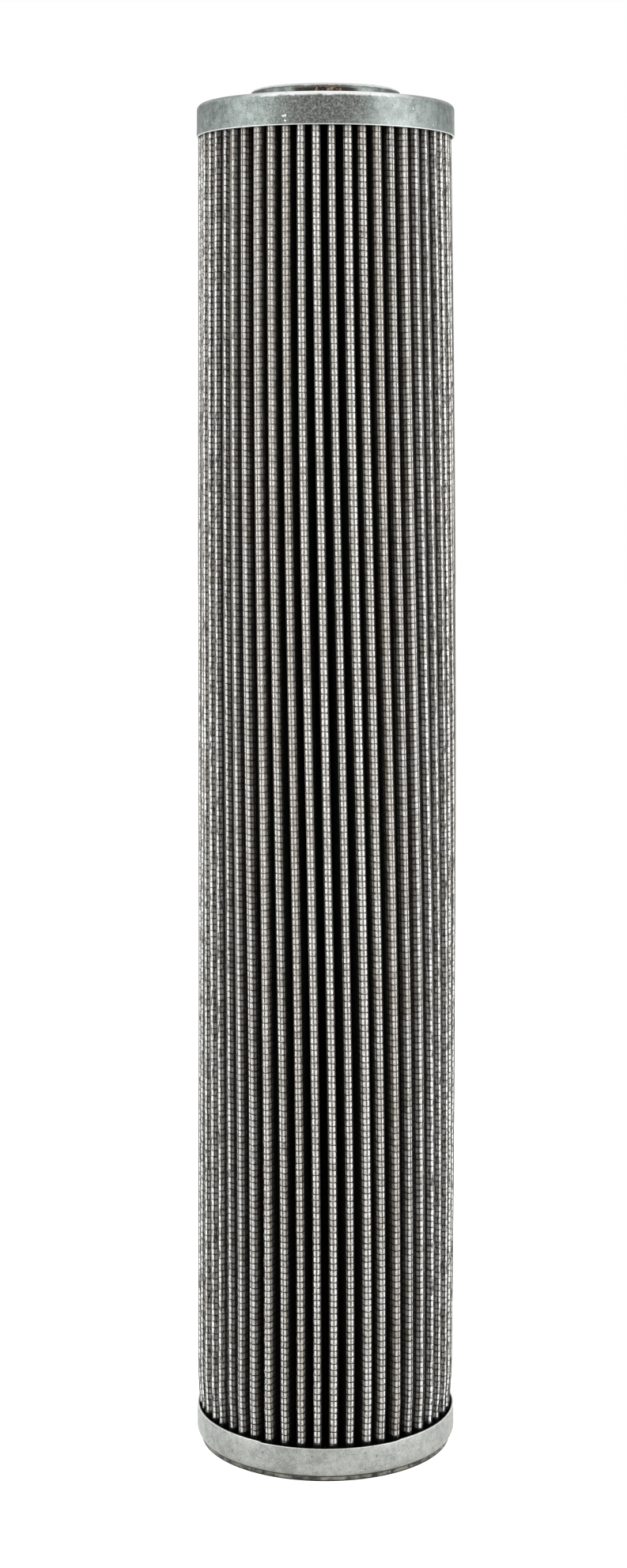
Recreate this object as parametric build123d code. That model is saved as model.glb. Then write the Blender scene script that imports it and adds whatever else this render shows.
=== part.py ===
"""Pleated hydraulic filter element, standing on its closed end cap.

A wire-cloth-backed medium is folded into deep pleats round a slotted core
tube. Its two ends are bedded in adhesive inside drawn steel caps. The upper
cap has a raised neck that holds an O-ring, and the element pushes onto a
round spigot there. The lower cap is closed and flat underneath.

Units are millimetres. +Z runs up the element's axis, from the centre of the
closed cap's base to the open neck.
"""
from build123d import *
import math
import os

# Driving dimensions
OVERALL_LENGTH = 406.6
CAP_SHEET = 0.6

# Open cap, at the top
OPEN_CAP_RADIUS = 39.15
OPEN_CAP_DEPTH = 9.8
OPEN_CAP_SHOULDER = 1.7
OPEN_CAP_INNER_BEVEL = 0.7
NECK_RADIUS = 22.8
NECK_RISE = 4.4
NECK_ROUNDING = 1.4
ROUNDING_FLATS = 3
SPIGOT_RADIUS = 19.05
BORE_CLEARANCE = 0.2
BORE_LENGTH = 1.2

# Closed cap, at the bottom
CLOSED_CAP_RADIUS = 38.8
CLOSED_CAP_DEPTH = 10.1
CLOSED_CAP_SHOULDER = 2.9
PAD_RADIUS = 37.4
PAD_RISE = 1.4

# Pleated pack
PLEAT_COUNT = 52
CREST_RADIUS = 38.0
PACK_INNER_RADIUS = 21.0
CREST_FOLD_RADIUS = 1.3
ROOT_FOLD_RADIUS = 0.15
CREST_BEVEL = 45.0
MESH_THICKNESS = 0.3
MEDIUM_THICKNESS = 0.45

# How the pack has settled. Its crests lean round the axis from end to end, stand
# further apart across the front than at the back, and halfway up they swell out
# and bow towards +X.
FRONT_DIRECTION = -90.0
TWIST = 3.8
TWIST_BOW = -0.5
TWIST_SHIFT = -0.4
SPREAD = 3.4
SPREAD_CHANGE = 2.4
BULGE = 0.85
BOW = 0.75
LEVELS = (-1, 0, 1)

# Adhesive beds
BED_DEPTH = 3.6
OPEN_BED_RADIUS = 37.6

# Core tube
CORE_WALL = 0.9
SLOT_WIDTH = 8.0
SLOT_LENGTH = 44.0
SLOTS_ROUND = 5
SLOT_ROWS = 6
SLOT_ROW_SPACING = 64.0

# Seal
RING_SECTION_RADIUS = 1.765
RING_BEVEL = 0.95

# Places worked out from the driving dimensions
OPEN_FACE_Z = OVERALL_LENGTH - NECK_RISE
OPEN_RIM_Z = OPEN_FACE_Z - OPEN_CAP_DEPTH
BORE_RADIUS = SPIGOT_RADIUS + BORE_CLEARANCE
NECK_INNER_RADIUS = NECK_RADIUS - CAP_SHEET
NECK_INNER_TOP_Z = OVERALL_LENGTH - CAP_SHEET
OPEN_INNER_FACE_Z = OPEN_FACE_Z - CAP_SHEET
PACK_BOTTOM_Z = CAP_SHEET + BED_DEPTH
PACK_TOP_Z = OPEN_INNER_FACE_Z - BED_DEPTH
PACK_LENGTH = PACK_TOP_Z - PACK_BOTTOM_Z
PACK_MIDDLE_Z = (PACK_BOTTOM_Z + PACK_TOP_Z) / 2
CORE_RADIUS = PACK_INNER_RADIUS
SHEET_THICKNESS = 2 * MESH_THICKNESS + MEDIUM_THICKNESS
CREST_CENTRE_RADIUS = CREST_RADIUS - CREST_FOLD_RADIUS
ROOT_CENTRE_RADIUS = PACK_INNER_RADIUS + SHEET_THICKNESS + ROOT_FOLD_RADIUS


def turned(section):
    """A section drawn as radius and height, turned round the Z axis."""
    return revolve(Plane.XZ * section, Axis.Z)


def polar(distance, angle):
    """A point at a distance and angle, in degrees, from the origin."""
    return Vector(distance, 0).rotate(Axis.Z, angle)


def rounding(centre, radius, start, end):
    """Points along an arc of a rounded edge, which is drawn with a few flats."""
    step = (end - start) / ROUNDING_FLATS
    return [Vector(*centre) + polar(radius, start + step * i) for i in range(ROUNDING_FLATS + 1)]


def open_cap():
    """Drawn cap with a raised neck, whose lip turns in and down round the bore."""
    bore_lip_radius = BORE_RADIUS + CAP_SHEET
    inner_radius = OPEN_CAP_RADIUS - CAP_SHEET
    shoulder_centre = (OPEN_CAP_RADIUS - OPEN_CAP_SHOULDER, OPEN_FACE_Z - OPEN_CAP_SHOULDER)
    neck_centre = (NECK_RADIUS - NECK_ROUNDING, OVERALL_LENGTH - NECK_ROUNDING)
    section = Polyline(
        (OPEN_CAP_RADIUS, OPEN_RIM_Z),
        *rounding(shoulder_centre, OPEN_CAP_SHOULDER, 0, 90),
        (NECK_RADIUS, OPEN_FACE_Z),
        *rounding(neck_centre, NECK_ROUNDING, 0, 90),
        (BORE_RADIUS, OVERALL_LENGTH),
        (BORE_RADIUS, OVERALL_LENGTH - BORE_LENGTH),
        (bore_lip_radius, OVERALL_LENGTH - BORE_LENGTH),
        (bore_lip_radius, NECK_INNER_TOP_Z),
        (NECK_INNER_RADIUS, NECK_INNER_TOP_Z),
        (NECK_INNER_RADIUS, OPEN_INNER_FACE_Z),
        (inner_radius - OPEN_CAP_INNER_BEVEL, OPEN_INNER_FACE_Z),
        (inner_radius, OPEN_INNER_FACE_Z - OPEN_CAP_INNER_BEVEL),
        (inner_radius, OPEN_RIM_Z),
        close=True,
    )
    return turned(make_face(section))


def closed_cap():
    """Drawn cap whose rounded shoulder runs into a shallow flat pad."""
    shoulder_reach = PAD_RADIUS - CLOSED_CAP_RADIUS + CLOSED_CAP_SHOULDER
    pad_angle = -math.degrees(math.acos(shoulder_reach / CLOSED_CAP_SHOULDER))
    shoulder_z = PAD_RISE + math.sqrt(CLOSED_CAP_SHOULDER**2 - shoulder_reach**2)
    shoulder_centre = (CLOSED_CAP_RADIUS - CLOSED_CAP_SHOULDER, shoulder_z)
    inner_pad_radius = PAD_RADIUS - CAP_SHEET
    inner_radius = CLOSED_CAP_RADIUS - CAP_SHEET
    section = Polyline(
        (0, 0),
        (PAD_RADIUS, 0),
        *rounding(shoulder_centre, CLOSED_CAP_SHOULDER, pad_angle, 0),
        (CLOSED_CAP_RADIUS, CLOSED_CAP_DEPTH),
        (inner_radius, CLOSED_CAP_DEPTH),
        (inner_radius, shoulder_z),
        (inner_pad_radius, PAD_RISE + CAP_SHEET / 2),
        (inner_pad_radius, CAP_SHEET),
        (0, CAP_SHEET),
        close=True,
    )
    return turned(make_face(section))


def crest_angle(pleat, level):
    """Where a crest stands at a level: -1 is the pack's lower end, 1 its upper end."""
    turned_by = TWIST_SHIFT - TWIST * level + TWIST_BOW * (1 - level**2)
    evenly_placed = 360 / PLEAT_COUNT * pleat + turned_by
    from_front = math.radians(evenly_placed - FRONT_DIRECTION)
    return evenly_placed + (SPREAD - SPREAD_CHANGE * level) * math.sin(from_front)


def middle_root_angle(pleat):
    """Where the root after a pleat stands, halfway up the pack."""
    return (crest_angle(pleat, 0) + crest_angle(pleat + 1, 0)) / 2


def crest_centre(pleat, level):
    """Centre of a crest's fold at a level."""
    swell = 1 - level**2
    crest = polar(CREST_CENTRE_RADIUS + BULGE * swell, crest_angle(pleat, level))
    return crest + Vector(BOW * swell, 0)


def leg_normal(pleat, side):
    """Which way a leg faces. Side is 1 for the leg after the crest and -1 for the one before."""
    facing = crest_angle(pleat, 0)
    root = polar(ROOT_CENTRE_RADIUS, middle_root_angle(pleat if side > 0 else pleat - 1))
    span = (root - crest_centre(pleat, 0)).rotate(Axis.Z, -facing)
    span_angle = math.degrees(math.atan2(side * span.Y, span.X))
    lean = math.degrees(math.acos((CREST_FOLD_RADIUS + ROOT_FOLD_RADIUS) / span.length))
    return facing + side * (span_angle - lean)


def pleat_flats(pleat, level, depth):
    """The flats of one pleat, from its first leg to the root after it.

    Each is the direction that it faces and how far it lies from the axis that
    way. A flat faces the same way at all levels, so it is a plane from end to end.
    """
    facing = crest_angle(pleat, 0)
    crest = crest_centre(pleat, level)
    normals = [
        leg_normal(pleat, -1),
        facing - CREST_BEVEL,
        facing,
        facing + CREST_BEVEL,
        leg_normal(pleat, 1),
    ]
    reach = CREST_FOLD_RADIUS - depth
    flats = [(normal, crest.dot(polar(1, normal)) + reach) for normal in normals]
    root = (middle_root_angle(pleat), ROOT_CENTRE_RADIUS - ROOT_FOLD_RADIUS - depth)
    return flats + [root]


def meeting_point(first, second, height):
    """Where two upright flats meet, at a height."""
    turn = math.radians(second[0] - first[0])
    along_first = (second[1] - first[1] * math.cos(turn)) / math.sin(turn)
    corner = polar(first[1], first[0]) + polar(along_first, first[0] + 90)
    return Vector(corner.X, corner.Y, height)


def pleated_corners(level, depth):
    """Corners of the whole folded surface at a level, at a depth in the folded sheet."""
    flats = [flat for pleat in range(PLEAT_COUNT) for flat in pleat_flats(pleat, level, depth)]
    height = PACK_MIDDLE_Z + level * PACK_LENGTH / 2
    return [meeting_point(flat, flats[i - 1], height) for i, flat in enumerate(flats)]


def wall_faces(rings):
    """Flat faces that join each ring of corners to the ring above it."""
    return [
        Face(Wire.make_polygon([low[i - 1], low[i], high[i], high[i - 1]], close=True))
        for low, high in zip(rings, rings[1:])
        for i in range(len(low))
    ]


def end_face(outline, hole):
    """Flat face between two rings of corners at one height."""
    return Face(Wire.make_polygon(outline, close=True), [Wire.make_polygon(hole, close=True)])


def pleated_layer(upstream_depth, downstream_depth):
    """One layer of the folded sheet, between two depths, over the pack's length."""
    outer = [pleated_corners(level, upstream_depth) for level in LEVELS]
    inner = [pleated_corners(level, downstream_depth) for level in LEVELS]
    ends = [end_face(outer[0], inner[0]), end_face(outer[-1], inner[-1])]
    return Solid(Shell(wall_faces(outer) + wall_faces(inner) + ends))


def outer_mesh():
    """Wire cloth on the upstream side, which holds the pleats open."""
    return pleated_layer(0, MESH_THICKNESS)


def filter_medium():
    """Fibre medium, folded between the two wire cloths."""
    return pleated_layer(MESH_THICKNESS, MESH_THICKNESS + MEDIUM_THICKNESS)


def inner_mesh():
    """Wire cloth on the downstream side, which backs the medium under pressure."""
    return pleated_layer(MESH_THICKNESS + MEDIUM_THICKNESS, SHEET_THICKNESS)


def core_slot(angle, height):
    """A cutter for one slot, pointing out through the tube's wall."""
    outward = Plane(origin=(0, 0, height), x_dir=(0, 0, 1), z_dir=polar(1, angle))
    return extrude(outward * Rectangle(SLOT_LENGTH, SLOT_WIDTH), 2 * CORE_RADIUS)


def core_tube():
    """Slotted tube that carries the pleats, with its rows of slots staggered."""
    length = OPEN_INNER_FACE_Z - PACK_BOTTOM_Z
    blank = turned(
        Pos(CORE_RADIUS - CORE_WALL / 2, PACK_BOTTOM_Z + length / 2) * Rectangle(CORE_WALL, length)
    )
    spacing = 360 / SLOTS_ROUND
    first_row_z = PACK_BOTTOM_Z + (PACK_LENGTH - SLOT_ROW_SPACING * (SLOT_ROWS - 1)) / 2
    slots = [
        core_slot(spacing * (column + row % 2 / 2), first_row_z + SLOT_ROW_SPACING * row)
        for row in range(SLOT_ROWS)
        for column in range(SLOTS_ROUND)
    ]
    return blank - slots


def open_bed():
    """Ring of adhesive that joins the pleats' top ends to the open cap."""
    width = OPEN_BED_RADIUS - CORE_RADIUS
    return turned(
        Pos(CORE_RADIUS + width / 2, PACK_TOP_Z + BED_DEPTH / 2) * Rectangle(width, BED_DEPTH)
    )


def closed_bed():
    """Disc of adhesive that joins the pack and the core tube to the closed cap."""
    radius = PAD_RADIUS - CAP_SHEET
    return Pos(0, 0, CAP_SHEET) * extrude(Circle(radius), BED_DEPTH)


def o_ring():
    """Seal squeezed between the neck and a spigot, with its round section's area kept."""
    width = NECK_INNER_RADIUS - SPIGOT_RADIUS
    cut_corners = 2 * RING_BEVEL**2
    height = (math.pi * RING_SECTION_RADIUS**2 + cut_corners) / width
    section = Rectangle(width, height)
    section = chamfer(section.vertices(), RING_BEVEL)
    return turned(Pos(SPIGOT_RADIUS + width / 2, OPEN_INNER_FACE_Z + height / 2) * section)


NODES = {
    "end_cap_open": open_cap,
    "end_cap_closed": closed_cap,
    "outer_mesh": outer_mesh,
    "filter_medium": filter_medium,
    "inner_mesh": inner_mesh,
    "core_tube": core_tube,
    "adhesive_bed_open": open_bed,
    "adhesive_bed_closed": closed_bed,
    "o_ring": o_ring,
}

os.makedirs("parts", exist_ok=True)
for node, make_piece in NODES.items():
    export_step(make_piece(), f"parts/{node}.step")
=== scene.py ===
import math

import bpy
import numpy as np
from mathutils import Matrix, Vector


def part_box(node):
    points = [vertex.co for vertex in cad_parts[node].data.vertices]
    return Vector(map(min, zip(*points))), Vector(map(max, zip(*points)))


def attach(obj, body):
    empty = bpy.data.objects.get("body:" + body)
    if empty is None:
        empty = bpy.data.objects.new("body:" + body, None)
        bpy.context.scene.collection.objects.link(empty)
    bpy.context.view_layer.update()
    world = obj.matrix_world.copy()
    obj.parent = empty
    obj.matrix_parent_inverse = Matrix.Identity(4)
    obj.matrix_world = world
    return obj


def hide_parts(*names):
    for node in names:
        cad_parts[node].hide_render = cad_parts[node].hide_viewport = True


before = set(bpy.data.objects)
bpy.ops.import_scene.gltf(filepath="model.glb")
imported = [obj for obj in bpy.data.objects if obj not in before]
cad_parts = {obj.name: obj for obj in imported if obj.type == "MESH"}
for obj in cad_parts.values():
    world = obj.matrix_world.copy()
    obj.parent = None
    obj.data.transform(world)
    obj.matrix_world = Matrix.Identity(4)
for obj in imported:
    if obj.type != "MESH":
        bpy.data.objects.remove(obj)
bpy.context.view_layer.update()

MM = 0.001
BODY = "root"

# Places taken from the frame
PACK_LOW, PACK_HIGH = (corner.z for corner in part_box("outer_mesh"))
PACK_MIDDLE = (PACK_LOW + PACK_HIGH) / 2
OPEN_CAP_LOW, OPEN_CAP_HIGH = (corner.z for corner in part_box("end_cap_open"))
CLOSED_CAP_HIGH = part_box("end_cap_closed")[1].z
CORE_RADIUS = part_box("core_tube")[1].x

# The caps, pressed from sheet
CAP_SHEET = 0.6 * MM
CAP_EDGE = 0.15 * MM
CAP_SEGMENTS = 288
OPEN_WALL = 39.03 * MM
NECK_RISE = 4.4 * MM
FACE_Z = OPEN_CAP_HIGH - NECK_RISE
CREASE_Z = 1.5 * MM
SPIGOT_RADIUS = 19.05 * MM
SEAL_SEGMENTS = 160

# The folded sheet
PLEATS = 52
PITCH = 2 * math.pi / PLEATS
CREST_RADIUS = 38.0 * MM
CREST_FOLD = 1.3 * MM
ROOT_FOLD = 0.15 * MM
CREST_BEND = math.radians(60)
CLOTH_THICKNESS = 0.3 * MM
MEDIUM_THICKNESS = 0.45 * MM
SHEET_THICKNESS = 2 * CLOTH_THICKNESS + MEDIUM_THICKNESS
# The felt swells up between the wires, to this depth under the sheet's outer face
MEDIUM_DEPTH = 0.20 * MM
MEDIUM_ROWS = 49
CLOTH_ROWS = 25

# How the real pack departs from even, straight pleats
TWIST = math.radians(3.8)
TWIST_BOW = math.radians(-0.5)
TWIST_SHIFT = math.radians(-0.4)
SPREAD_LOW = math.radians(5.8)
SPREAD_HIGH = math.radians(1.0)
BULGE = 0.85 * MM
BOW = 0.75 * MM
TUCK = 0.5 * MM
TUCK_HEIGHT = 12.0 * MM

# Chance differences from pleat to pleat. A wander is a share of the scatter of its kind.
ANGLE_SCATTER = math.radians(0.25)
ANGLE_WANDER = 0.35
RADIUS_SCATTER = 0.18 * MM
RADIUS_WANDER = 0.5
WANDER_RATE = 2.1
FOLD_SCATTER = 0.08
FOLD_LIMIT = 0.18
ROW_SHIFT_SCATTER = 0.16 * MM
ROW_SLANT_SCATTER = 0.27 * MM
WEFT_SCATTER = 0.08 * MM

# The woven cloth
WIRE_RADIUS = 0.125 * MM
WARP_PER_PLEAT = 24
WARP_SHOWN = 7
WEFT_PITCH = 1.81 * MM
WEFT_PIECES = 3
FIRST_WEFT = PACK_LOW + 0.5 * WEFT_PITCH
# Half the width of a crest and of a root, counted in warp wires
CREST_HALF = 1.5
ROOT_HALF = 0.15
# Columns of the folded path to a pleat
COLUMNS = 8

# The ding in the open cap's front wall
DING_ANGLE = math.radians(-90 - 17.8)
DING_Z = 394.6 * MM
DING_REACH = 0.9 * MM
DING_DEPTH = 0.12 * MM
# Bright chips round it, and two dark spots of painted shade at its upper right: degrees from the front,
# height, radius in mm, grey
OPEN_CAP_CHIPS_AND_SHADE = (
    (-18.4, 395.0, 0.46, 0.74),
    (-17.5, 395.1, 0.52, 0.80),
    (-17.4, 393.6, 0.46, 0.84),
    (-15.6, 396.8, 0.45, 0.05),
    (-16.2, 395.7, 0.40, 0.05),
)
CHIP_RADIUS = 39 * MM

# The closed cap's rim dips across the front. Its middle, half width and ends are in degrees.
RIM_DIP = 0.28 * MM
DIP_MIDDLE = 2
DIP_HALF = 31
DIP_END = 1.5

# Where the pack's sides begin and are reached, in degrees from the front
SIDES_BEGIN = 30
SIDES_REACHED = 58

# The plating's tones: light, middle, dark
OPEN_CAP_ZINC = ((0.205, 0.234, 0.222), (0.136, 0.158, 0.150), (0.081, 0.096, 0.090))
CLOSED_CAP_ZINC = ((0.350, 0.356, 0.338), (0.275, 0.284, 0.267), (0.195, 0.205, 0.190))
# The wires' tones: dark, middle, light
WEFT_TONES = ((0.010, 0.010, 0.009), (0.022, 0.021, 0.018), (0.12, 0.10, 0.085))
WARP_TONES = ((0.012, 0.011, 0.010), (0.045, 0.040, 0.034), (0.26, 0.24, 0.21))
# Where the wires get paler with height, and how deep under the crests their painted shade makes them dark
# and then black
PALE_FROM, PALE_TO = 60 * MM, 200 * MM
DARK_FROM, DARK_TO = 0.35 * MM, 0.70 * MM
BLACK_FROM, BLACK_TO = 1.2 * MM, 2.4 * MM
# Painted shade in the folds: how much darker the medium is from one cell down a leg to the next: cell,
# share
FOLD_SHADE = ((1.0, 0.30), (1.95, 0.80), (2.6, 0.95))

# The studio: how bright the room is in three directions, and its soft boxes
ROOM_FRONT = 0.13
ROOM_SIDES = 0.34
ROOM_ABOVE = 1.2
BOX_WIDTH = 0.9
BOX_HEIGHT = 1.2
BOX_TARGET = (0, 0, 0.2)
# Name, place and watts of each box
SOFT_BOXES = (
    ("left_box", (-1.0, -0.42, 0.40), 10.3),
    ("right_box", (1.0, -0.42, 0.40), 11.4),
)
FLOOR_HALF = 4.0

# The photograph, in pixels, and the place it was taken from
IMAGE_HEIGHT_PX = 1983
FOCAL_PX = 3351.5
SHIFT_X_PX = -15.2
SHIFT_Y_PX = -467.8
CAMERA_PLACE = (0, -0.8038, 0.3087)
SENSOR_MM = 36

rng = np.random.default_rng(52)


# ---------------------------------------------------------------- meshes

def mesh_object(name, vertices, quads, material, smooth=True, uvs=None):
    """A mesh from arrays of vertices and of corners, four to a face, -1 for none."""
    mesh = bpy.data.meshes.new(name)
    quads = np.asarray(quads)
    mesh.vertices.add(len(vertices))
    mesh.vertices.foreach_set("co", np.asarray(vertices, np.float32).ravel())
    sizes = (quads >= 0).sum(1)
    corners = quads[quads >= 0]
    mesh.loops.add(len(corners))
    mesh.loops.foreach_set("vertex_index", corners.astype(np.int32))
    starts = np.concatenate([[0], np.cumsum(sizes)[:-1]]).astype(np.int32)
    mesh.polygons.add(len(quads))
    mesh.polygons.foreach_set("loop_start", starts)
    mesh.polygons.foreach_set("loop_total", sizes.astype(np.int32))
    mesh.polygons.foreach_set("use_smooth", np.full(len(quads), smooth))
    if uvs is not None:
        layer = mesh.uv_layers.new(name="Weave")
        layer.data.foreach_set("uv", np.asarray(uvs, np.float32).ravel())
    mesh.update(calc_edges=True)
    mesh.validate()
    mesh.materials.append(material)
    piece = bpy.data.objects.new(name, mesh)
    bpy.context.scene.collection.objects.link(piece)
    return piece


def grid_quads(rows, columns, wrap_rows=False, offset=0):
    """Quads over a grid of vertices stored row by row, closed from its last column to its first."""
    last_row = rows if wrap_rows else rows - 1
    row, column = np.meshgrid(np.arange(last_row), np.arange(columns), indexing="ij")
    row, column = row.ravel(), column.ravel()
    next_row, next_column = (row + 1) % rows, (column + 1) % columns
    corners = [
        row * columns + column,
        row * columns + next_column,
        next_row * columns + next_column,
        next_row * columns + column,
    ]
    return np.stack(corners, 1) + offset


def arc(centre, radius, start, end, steps):
    """Points along an arc in a section, from one angle in degrees to another."""
    angles = np.radians(np.linspace(start, end, steps + 1))
    return [(centre[0] + radius * math.cos(a), centre[1] + radius * math.sin(a)) for a in angles]


def lathe(name, section, material, segments, shape=None):
    """A closed section, as radius and height, turned round Z.

    shape(radius, angle, height) may move the points, for dents and worn edges.
    """
    section = np.array(section)
    angles = np.linspace(0, 2 * math.pi, segments, endpoint=False)
    radius = np.repeat(section[:, :1], segments, 1)
    height = np.repeat(section[:, 1:], segments, 1)
    angle = np.repeat(angles[None], len(section), 0)
    if shape:
        radius, height = shape(radius, angle, height)
    vertices = np.stack([radius * np.cos(angle), radius * np.sin(angle), height], -1)
    quads = grid_quads(len(section), segments, wrap_rows=True)
    return mesh_object(name, vertices.reshape(-1, 3), quads, material)


# ---------------------------------------------------------------- the pack's form

def along(height):
    """-1 at the pack's lower end and 1 at its upper end."""
    return (height - PACK_MIDDLE) / (PACK_HIGH - PACK_MIDDLE)


def twist(height):
    """How far a pleat has turned round the axis at a height."""
    quarter = math.pi / 2 * along(height)
    return TWIST_SHIFT - TWIST * np.sin(quarter) + TWIST_BOW * np.cos(quarter)


def spread(angle, height):
    """How far the pleats across the front stand apart, more so towards the lower end."""
    share = (along(height) + 1) / 2
    return (SPREAD_LOW + (SPREAD_HIGH - SPREAD_LOW) * share) * np.sin(angle + math.pi / 2)


def crest_swell(height):
    """What the pack's barrel form and its tucked lower end add to a crest's radius."""
    above_rim = np.clip((height - CLOSED_CAP_HIGH) / TUCK_HEIGHT, 0, 1)
    tucked = 1 - above_rim * above_rim * (3 - 2 * above_rim)
    return BULGE * (1 - along(height) ** 2) - TUCK * tucked


def wander(height, amount):
    """A slow random drift along each pleat, one row for each pleat."""
    drift = np.zeros((PLEATS, len(height)))
    for wave in (1, 2, 3):
        phase = rng.uniform(0, 2 * math.pi, (PLEATS, 1))
        size = rng.normal(0, amount / wave, (PLEATS, 1))
        drift += size * np.sin(wave * WANDER_RATE * along(height)[None] + phase)
    return drift


STATIONS = np.linspace(PACK_LOW, PACK_HIGH, 61)
ANGLE_OFFSET = rng.normal(0, ANGLE_SCATTER, (PLEATS, 1))
ANGLE_DRIFT = ANGLE_OFFSET + wander(STATIONS, ANGLE_WANDER * ANGLE_SCATTER)
RADIUS_OFFSET = rng.normal(0, RADIUS_SCATTER, (PLEATS, 1))
RADIUS_DRIFT = RADIUS_OFFSET + wander(STATIONS, RADIUS_WANDER * RADIUS_SCATTER)
FOLD_CHANGE = rng.normal(0, FOLD_SCATTER, (PLEATS, 1)).clip(-FOLD_LIMIT, FOLD_LIMIT)
FOLD_SIZE = CREST_FOLD * (1 + FOLD_CHANGE)
ROW_SHIFT = rng.normal(0, ROW_SHIFT_SCATTER, PLEATS)
ROW_SLANT = rng.normal(0, ROW_SLANT_SCATTER, PLEATS)


def at_heights(drift, height):
    """A drift, known at the stations, read at other heights."""
    return np.stack([np.interp(height, STATIONS, row) for row in drift])


def polar(distance, angle):
    """Points in the plane, as one array with x and y last."""
    return np.stack([distance * np.cos(angle), distance * np.sin(angle)], -1)


def folded_path(height, depth):
    """The folded sheet's line at some heights, at a depth under its upstream face.

    Returns (points, normals, u): points and outward normals are [height, column, xy],
    with COLUMNS columns to a pleat, and u counts warp wires from the first crest.
    """
    height = np.asarray(height, float)
    fold = np.repeat(FOLD_SIZE, len(height), 1)
    even_angle = PITCH * np.arange(PLEATS)[:, None] + twist(height)[None]
    crest_angle = even_angle + spread(even_angle, height[None]) + at_heights(ANGLE_DRIFT, height)
    crest_radius = CREST_RADIUS + crest_swell(height)[None] + at_heights(RADIUS_DRIFT, height) - fold
    next_angle = np.roll(crest_angle, -1, 0)
    next_angle[-1] += 2 * math.pi
    root_angle = (crest_angle + next_angle) / 2
    previous_root = np.roll(root_angle, 1, 0)
    previous_root[0] -= 2 * math.pi
    root_radius = CORE_RADIUS + SHEET_THICKNESS + ROOT_FOLD
    crest = polar(crest_radius, crest_angle)
    crest[..., 0] += BOW * (1 - along(height) ** 2)
    reach = fold - depth
    root_reach = ROOT_FOLD + depth

    def leg_normal(root, side):
        span = root - crest
        length = np.linalg.norm(span, axis=-1)
        lean = np.arccos((fold + ROOT_FOLD) / length)
        return np.arctan2(span[..., 1], span[..., 0]) - side * lean

    root_after = polar(root_radius, root_angle)
    root_before = polar(root_radius, previous_root)
    leg_after = leg_normal(root_after, 1)
    leg_before = leg_normal(root_before, -1)
    columns = [
        (root_before, leg_before, -root_reach),
        (crest, leg_before, reach),
        (crest, crest_angle - CREST_BEND, reach),
        (crest, crest_angle, reach),
        (crest, crest_angle + CREST_BEND, reach),
        (crest, leg_after, reach),
        (root_after, leg_after, -root_reach),
        (root_after, root_angle, -root_reach),
    ]
    points = [centre + polar(distance, normal) for centre, normal, distance in columns]
    normals = [polar(1.0, normal) for _, normal, _ in columns]
    points = np.stack(points, 1).transpose(2, 0, 1, 3).reshape(len(height), -1, 2)
    normals = np.stack(normals, 1).transpose(2, 0, 1, 3).reshape(len(height), -1, 2)
    half = WARP_PER_PLEAT / 2
    root = half - ROOT_HALF
    pleat_u = np.array([-root, -CREST_HALF, -1, 0, 1, CREST_HALF, root, half])
    u = (np.arange(PLEATS)[:, None] * WARP_PER_PLEAT + pleat_u[None]).ravel()
    return points, normals, u


def sheet_heights(rows):
    """Even heights up the pack, with a few more where its lower end is tucked in."""
    tucked = CLOSED_CAP_HIGH + TUCK_HEIGHT * np.linspace(0, 1, 5)
    return np.unique(np.concatenate([np.linspace(PACK_LOW, PACK_HIGH, rows), tucked]))


def row_shift():
    """How far the weft is off level in each column of the folded path."""
    across = np.linspace(-1, 1, COLUMNS)
    return (ROW_SHIFT[:, None] + ROW_SLANT[:, None] * across[None]).ravel()


# ---------------------------------------------------------------- materials

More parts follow.
